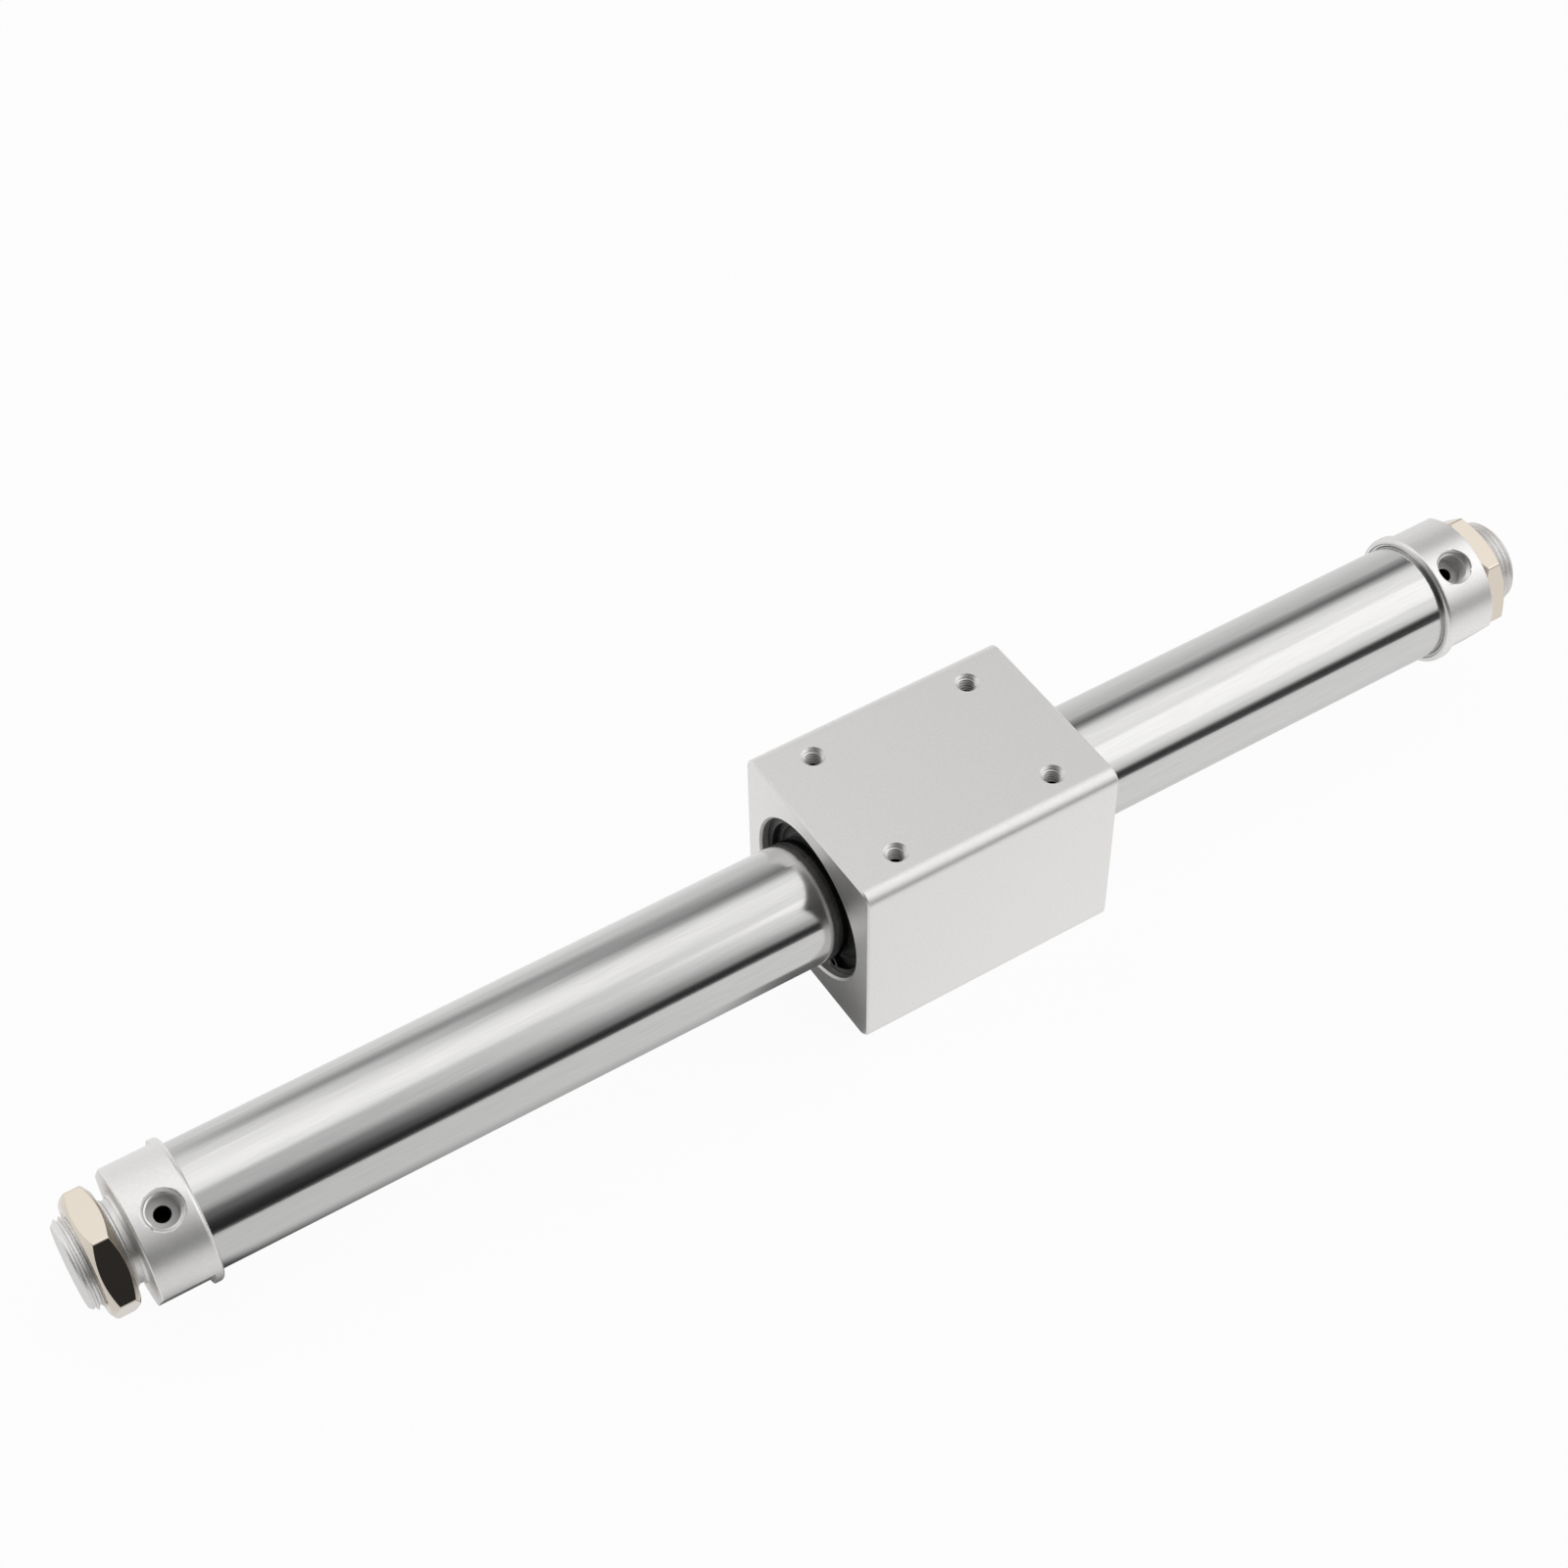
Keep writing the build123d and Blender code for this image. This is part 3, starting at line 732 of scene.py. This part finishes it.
def round_port_rim(cover, side):
    """Rounds the edge between a port's spot face and the cover's outside."""
    to_port = port_matrix(side).inverted()
    lowest = COVER_RADIUS - PORT_SPOT_DEPTH + RIM_CLEAR_OF_FLOOR
    make_active(cover)
    bpy.ops.object.mode_set(mode="EDIT")
    bpy.ops.mesh.select_mode(type="EDGE")
    bpy.ops.mesh.select_all(action="DESELECT")
    mesh = bmesh.from_edit_mesh(cover.data)
    for edge in mesh.edges:
        spots = [to_port @ vertex.co / MM for vertex in edge.verts]
        on_rim = all(
            abs(math.hypot(spot.y, spot.z) - PORT_SPOT_RADIUS) < RIM_LEEWAY and spot.x > lowest
            for spot in spots
        )
        on_outside = all(
            math.hypot(vertex.co.y, vertex.co.z) / MM > COVER_FLATS / 2 for vertex in edge.verts
        )
        if on_rim and on_outside:
            edge.select_set(True)
    bpy.ops.mesh.bevel(
        offset=PORT_SPOT_ROUND * MM, segments=ROUND_STEPS, affect="EDGES", clamp_overlap=False,
        loop_slide=False,
    )
    deselect()


def make_cover(side_name, side):
    cover = turned(f"turned_cover_{side_name}", mirrored(cover_profile(), side))
    cut_flats(cover, side)
    soften(cover, EDGE, COVER_EDGE_ANGLE)
    way = turned("air_way", mirrored([
        (spigot_end - OVERRUN, AIR_WAY_RADIUS),
        (cover_end - PORT_SETBACK + AIR_WAY_OVERRUN, AIR_WAY_RADIUS),
    ], side), SMALL_ROUND)
    combine(cover, way, "DIFFERENCE")
    floor = COVER_RADIUS - PORT_DEPTH
    spot = COVER_RADIUS - PORT_SPOT_DEPTH
    port = turned("port_cutter", [
        (PORT_DRILL_START, PORT_DRILL),
        (floor - PORT_DRILL_CHAMFER, PORT_DRILL), (floor, PORT_DRILL + PORT_DRILL_CHAMFER),
        (floor, PORT_RADIUS),
        (spot - PORT_CHAMFER, PORT_RADIUS), (spot, PORT_RADIUS + PORT_CHAMFER),
        (spot, PORT_SPOT_RADIUS), (COVER_RADIUS + OVERRUN, PORT_SPOT_RADIUS),
    ], THREAD_ROUND)
    place(port, port_matrix(side))
    combine(cover, port, "DIFFERENCE")
    round_port_rim(cover, side)
    smooth(cover, even=True)
    dress(cover, "barrel", "cover_aluminium", f"end_cover_{side_name}")


def make_nose_thread(side_name, side):
    low, high = sorted((side * relief_end, side * nose_end))
    ridge = thread_ridge(
        f"nose_thread_{side_name}", low, high - low, NOSE_PITCH, NOSE_CORE - 2 * BURIED, NOSE_CREST
    )
    inner = NOSE_CORE - BURIED
    outer = NOSE_CREST + BURIED
    rise = outer - inner
    start = relief_end + NOSE_THREAD_START
    end = nose_end - NOSE_CHAMFER - BURIED
    envelope = turned("envelope", mirrored([
        (start, inner), (start + rise, outer), (end, outer), (end + rise, inner),
    ], side), closed=True)
    combine(ridge, envelope, "INTERSECT")
    smooth(ridge, THREAD_SMOOTH_ANGLE)
    dress(ridge, "barrel", "cover_aluminium")


def make_port_thread(side_name, side):
    floor = COVER_RADIUS - PORT_DEPTH
    mouth = COVER_RADIUS - PORT_SPOT_DEPTH - PORT_CHAMFER
    ridge = thread_ridge(
        f"port_thread_{side_name}", floor, PORT_DEPTH, PORT_PITCH, PORT_RADIUS + 2 * BURIED, PORT_CREST,
        SMALL_ROUND,
    )
    outer = PORT_RADIUS + BURIED
    inner = PORT_CREST - BURIED
    start = floor + PORT_THREAD_START
    envelope = turned("envelope", [
        (start, inner), (start, outer), (mouth, outer), (mouth - (outer - inner), inner),
    ], SMALL_ROUND, closed=True)
    combine(ridge, envelope, "INTERSECT")
    place(ridge, port_matrix(side))
    smooth(ridge, THREAD_SMOOTH_ANGLE)
    dress(ridge, "barrel", "cover_aluminium")


def make_nut(side_name, side):
    low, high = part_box(f"mounting_nut_{side_name}")
    x0, x1 = low.x / MM, high.x / MM
    across_corners = 2 * NUT_FLATS / math.sqrt(3)
    deselect()
    bpy.ops.mesh.primitive_cylinder_add(
        vertices=6, radius=across_corners / 2 * MM, depth=NUT_THICKNESS * MM,
        rotation=(0, math.pi / 2, 0),
    )
    nut = bpy.context.object
    nut.name = f"hexagon_nut_{side_name}"
    # The primitive is laid along X with a corner on Y, and the turn is measured from +Y.
    turn = Matrix.Rotation(math.radians(NUT_TURN[side_name]), 4, "X")
    place(nut, Matrix.Translation(((x0 + x1) / 2 * MM, 0, 0)) @ turn @ nut.matrix_world)
    bpy.ops.object.mode_set(mode="EDIT")
    bpy.ops.mesh.select_all(action="DESELECT")
    mesh = bmesh.from_edit_mesh(nut.data)
    for edge in mesh.edges:
        edge.select_set(abs(edge.verts[0].co.x - edge.verts[1].co.x) > MM)
    bpy.ops.mesh.bevel(offset=NUT_CORNER * MM, segments=ROUND_STEPS, affect="EDGES")
    deselect()
    reach = across_corners / 2 + OVERRUN / 2
    drop = (reach - NUT_FACE_RADIUS) * math.tan(math.radians(NUT_FACE_ANGLE))
    envelope = turned("envelope", [
        (x0, NUT_FACE_RADIUS), (x0 + drop, reach), (x1 - drop, reach), (x1, NUT_FACE_RADIUS),
    ])
    combine(nut, envelope, "INTERSECT")
    bore = NOSE_CREST + BURIED
    mouth = NUT_MOUTH - bore
    hole = turned("hole", [
        (x0 - OVERRUN, NUT_MOUTH + OVERRUN), (x0 + mouth, bore),
        (x1 - mouth, bore), (x1 + OVERRUN, NUT_MOUTH + OVERRUN),
    ])
    combine(nut, hole, "DIFFERENCE")
    soften(nut, NUT_EDGE, NUT_EDGE_ANGLE)
    smooth(nut, even=True)
    dress(nut, f"nut_{side_name}", "nut_passivated_steel", f"mounting_nut_{side_name}")


def make_bolt_threads():
    """The threads in the carriage's eight tapped holes."""
    low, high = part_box("carriage_body")
    centre_x = (low.x + high.x) / 2 / MM
    top = high.z / MM
    mouth = top - BOLT_MOUTH_CHAMFER
    outer = BOLT_RADIUS + BURIED
    inner = BOLT_CREST - BURIED
    start = top - BOLT_DEPTH
    ridge = thread_ridge(
        "bolt_thread", start, BOLT_DEPTH, BOLT_PITCH, BOLT_RADIUS + 2 * BURIED, BOLT_CREST, SMALL_ROUND
    )
    envelope = turned("envelope", [
        (start, inner), (start, outer), (mouth, outer), (mouth - (outer - inner), inner),
    ], SMALL_ROUND, closed=True)
    combine(ridge, envelope, "INTERSECT")
    smooth(ridge, THREAD_SMOOTH_ANGLE)
    upright = Matrix.Rotation(-math.pi / 2, 4, "Y")
    for face, turn in (("top", 0), ("bottom", math.pi)):
        for number, (right, back) in enumerate(((-1, -1), (1, -1), (-1, 1), (1, 1)), 1):
            make_active(ridge)
            bpy.ops.object.duplicate()
            thread = bpy.context.object
            thread.name = f"bolt_thread_{face}_{number}"
            spot = Matrix.Translation((
                (centre_x + right * BOLT_SPACING[0] / 2) * MM, back * BOLT_SPACING[1] / 2 * MM, 0,
            ))
            place(thread, spot @ Matrix.Rotation(turn, 4, "X") @ upright)
            dress(thread, "carriage", "block_aluminium")
    make_active(ridge)
    bpy.ops.object.delete()


for side_name, side in SIDES.items():
    make_cover(side_name, side)
    make_nose_thread(side_name, side)
    make_port_thread(side_name, side)
    make_nut(side_name, side)
make_bolt_threads()


def make_camera():
    azimuth = math.radians(CAMERA_AZIMUTH)
    elevation = math.radians(CAMERA_ELEVATION)
    roll = math.radians(CAMERA_ROLL)
    back = Vector((
        math.sin(azimuth) * math.cos(elevation),
        -math.cos(azimuth) * math.cos(elevation),
        math.sin(elevation),
    ))
    right = (-back).cross(Vector((0, 0, 1))).normalized()
    up = right.cross(-back)
    rolled_right = math.cos(roll) * right + math.sin(roll) * up
    rolled_up = -math.sin(roll) * right + math.cos(roll) * up
    data = bpy.data.cameras.new("camera")
    data.lens = CAMERA_LENS
    data.sensor_width = 36.0
    data.clip_start = 0.01
    data.clip_end = 100.0
    camera = bpy.data.objects.new("camera", data)
    bpy.context.scene.collection.objects.link(camera)
    camera.matrix_world = Matrix.Translation(Vector(CAMERA_PLACE) * MM) @ Matrix(
        (rolled_right, rolled_up, back)
    ).transposed().to_4x4()
    bpy.context.scene.camera = camera


def floor_in_metal(tree):
    """How bright metal sees the floor, as painted light and shade: a painted shadow under the tube and
    at the block's foot, darker at the left, brighter behind, dark in front.
    """
    spot = position(tree)
    x, y = spot["X"], spot["Y"]
    off_axis = compute(tree, "ABSOLUTE", y)
    behind = smooth_step(tree, x, *FLOOR_BEHIND)
    behind = blend(tree, smooth_step(tree, y, *FLOOR_BEHIND_START), 1.0, behind)
    level = compute(tree, "MULTIPLY", smooth_step(tree, x, *FLOOR_IN_METAL), behind)
    under = compute(tree, "ADD", *(smooth_step(tree, x, *ramp) for ramp in SHADOW_STRIP_LIGHT))
    half_width = smooth_step(tree, x, *STRIP_HALF_WIDTH)
    outer = compute(tree, "ADD", half_width, STRIP_SOFT_EDGE)
    beside = smooth_step(tree, off_axis, half_width, outer)
    beside = compute(tree, "MAXIMUM", beside, smooth_step(tree, x, *STRIP_END))
    level = compute(tree, "MULTIPLY", level, blend(tree, beside, under, 1.0))
    foot = compute(tree, "MULTIPLY", *(smooth_step(tree, x, *ramp) for ramp in FOOT_RAMPS))
    foot = compute(tree, "MULTIPLY", foot, smooth_step(tree, off_axis, *FOOT_SIDES))
    level = compute(tree, "MULTIPLY", level, blend(tree, foot, 1.0, FOOT_SHADOW_LIGHT))
    shares = [compute(tree, "MULTIPLY", value, share) for value, share in zip((x, y), FRONT_WAY)]
    forwards = compute(tree, "ADD", *shares)
    return compute(tree, "MULTIPLY", level, smooth_step(tree, forwards, *FRONT_EDGE))


def make_floor():
    deselect()
    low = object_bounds()[0].z
    bpy.ops.mesh.primitive_plane_add(size=FLOOR_SIZE, location=(0, 0, low - FLOOR_GAP))
    floor = bpy.context.object
    floor.name = "floor"
    material = bpy.data.materials.new("floor_paper")
    material.use_nodes = True
    tree = material.node_tree
    shader = tree.nodes["Principled BSDF"]
    shader.inputs["Base Color"].default_value = (FLOOR_COLOUR,) * 3 + (1,)
    shader.inputs["Roughness"].default_value = FLOOR_ROUGHNESS
    shader.inputs["Specular IOR Level"].default_value = 0.0
    rays = add(tree, "ShaderNodeLightPath").outputs
    for_metal = compute(tree, "MAXIMUM", rays["Is Glossy Ray"], rays["Is Transmission Ray"])
    white_for_metal = compute(tree, "MULTIPLY", for_metal, FLOOR_WHITENESS_IN_METAL)
    white_for_camera = compute(tree, "MULTIPLY", rays["Is Camera Ray"], FLOOR_WHITENESS)
    whiteness = compute(tree, "MAXIMUM", white_for_metal, white_for_camera)
    strength = blend(tree, rays["Is Camera Ray"], floor_in_metal(tree), BACKDROP_WHITE)
    white = add(tree, "ShaderNodeEmission", {"Color": (1, 1, 1, 1), "Strength": strength})
    shown = add(tree, "ShaderNodeMixShader", {
        0: whiteness, 1: shader.outputs[0], 2: white.outputs[0],
    })
    link(tree, shown.outputs[0], tree.nodes["Material Output"].inputs["Surface"])
    floor.data.materials.append(material)


def bands(tree, angle, stops):
    """Brightness round the tube's axis, with soft stops in degrees from straight up to the front."""
    place_on_ramp = compute(tree, "ADD", compute(tree, "MULTIPLY", angle, 1 / math.pi), 0.5)
    node = add(tree, "ShaderNodeValToRGB", {0: place_on_ramp})
    ramp = node.color_ramp
    ramp.interpolation = "EASE"
    for number, (degrees, strength) in enumerate(stops):
        spot = degrees / 180 + 0.5
        element = ramp.elements[number] if number < 2 else ramp.elements.new(spot)
        element.position = spot
        level = strength / BRIGHTEST
        element.color = (level, level, level, 1)
    return compute(tree, "MULTIPLY", node.outputs[0], BRIGHTEST)


def make_world():
    """A bright ceiling, a pale back wall and a front wall that is dark low down and at the left."""
    world = bpy.data.worlds.new("studio")
    world.use_nodes = True
    tree = world.node_tree
    direction = add(tree, "ShaderNodeTexCoord")
    split = add(tree, "ShaderNodeSeparateXYZ", {0: direction.outputs["Generated"]})
    along = split.outputs["X"]
    forwards = compute(tree, "MULTIPLY", split.outputs["Y"], -1.0)
    angle = compute(tree, "ARCTAN2", forwards, split.outputs["Z"])
    turn = smooth_step(tree, along, TURN_START, smooth_step(tree, angle, *TURN_END))
    room = blend(tree, turn, bands(tree, angle, STUDIO_LEFT), bands(tree, angle, STUDIO_RIGHT))
    seam_place = add(tree, "ShaderNodeMapRange", {
        "Value": along, "From Min": SEAM_RISE[0], "From Max": SEAM_RISE[1],
        "To Min": SEAM_PLACE[0], "To Max": SEAM_PLACE[1],
    }).outputs["Result"]
    off_seam = compute(tree, "ABSOLUTE", compute(tree, "SUBTRACT", angle, seam_place))
    seam = compute(tree, "MULTIPLY", *(smooth_step(tree, along, *ramp) for ramp in SEAM_FADES))
    seam = blend(tree, seam, 1.0, SEAM_SHADE)
    seam = blend(tree, smooth_step(tree, off_seam, SEAM_REACH, 0.0), 1.0, seam)
    room = compute(tree, "MULTIPLY", room, seam)
    leftward = smooth_step(tree, along, *CORNER_ALONG)
    corner = compute(tree, "MULTIPLY", leftward, smooth_step(tree, forwards, *CORNER_FORWARDS))
    room = compute(tree, "MULTIPLY", room, blend(tree, corner, 1.0, CORNER_LIGHT))
    path = add(tree, "ShaderNodeLightPath")
    strength = blend(tree, path.outputs["Is Camera Ray"], room, BACKDROP_WHITE)
    background = tree.nodes["Background"]
    background.inputs["Color"].default_value = (1, 1, 1, 1)
    link(tree, strength, background.inputs["Strength"])
    bpy.context.scene.world = world


def make_soft_box():
    """A soft lamp in front, at the right."""
    data = bpy.data.lights.new("soft_box_front", "AREA")
    data.shape = "RECTANGLE"
    data.size, data.size_y = SOFT_BOX_SIZE
    data.energy = SOFT_BOX_BRIGHTNESS * math.pi * data.size * data.size_y
    lamp = bpy.data.objects.new("soft_box_front", data)
    bpy.context.scene.collection.objects.link(lamp)
    spot = Vector(SOFT_BOX_PLACE) * MM
    aim = Vector(SOFT_BOX_TARGET) * MM - spot
    lamp.matrix_world = Matrix.Translation(spot) @ aim.to_track_quat("-Z", "Y").to_matrix().to_4x4()


make_camera()
make_floor()
make_world()
make_soft_box()

bpy.context.scene.view_settings.view_transform = "Standard"

bpy.context.view_layer.update()
